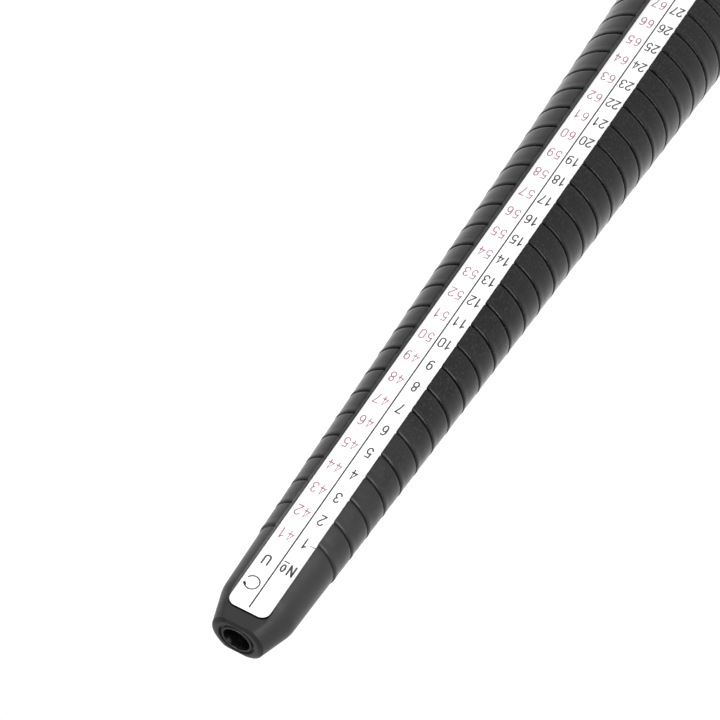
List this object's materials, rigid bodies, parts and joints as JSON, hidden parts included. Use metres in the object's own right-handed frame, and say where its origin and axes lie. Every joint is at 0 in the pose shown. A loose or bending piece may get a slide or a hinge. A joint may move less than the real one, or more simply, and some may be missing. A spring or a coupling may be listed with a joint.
{
  "type": "ring sizer stick",
  "caption": "Tapered plastic finger gauge with a groove for each ring size, two recessed printed scale strips and a fluted grip handle",
  "frame": {"origin": "centre of the flat end of the handle, on the stick's axis", "axes": "+Z along the stick from the handle to the tip, -Y out of the front scale strip, +X to the right when reading that strip with the tip up"},
  "size_m": [0.0284, 0.0284, 0.255],
  "materials": {
    "black_plastic": "fine matte moulded black plastic",
    "white_strip": "smooth white plastic strip with printed figures",
    "plug_plastic": "matte moulded dark grey plastic",
    "black_ink": "matte dark grey printing ink",
    "red_ink": "matte red printing ink"
  },
  "bodies": {
    "root": {"mandrel": "black_plastic", "front_strip": "white_strip", "back_strip": "white_strip", "end_plug": "plug_plastic"}
  },
  "joints": []
}
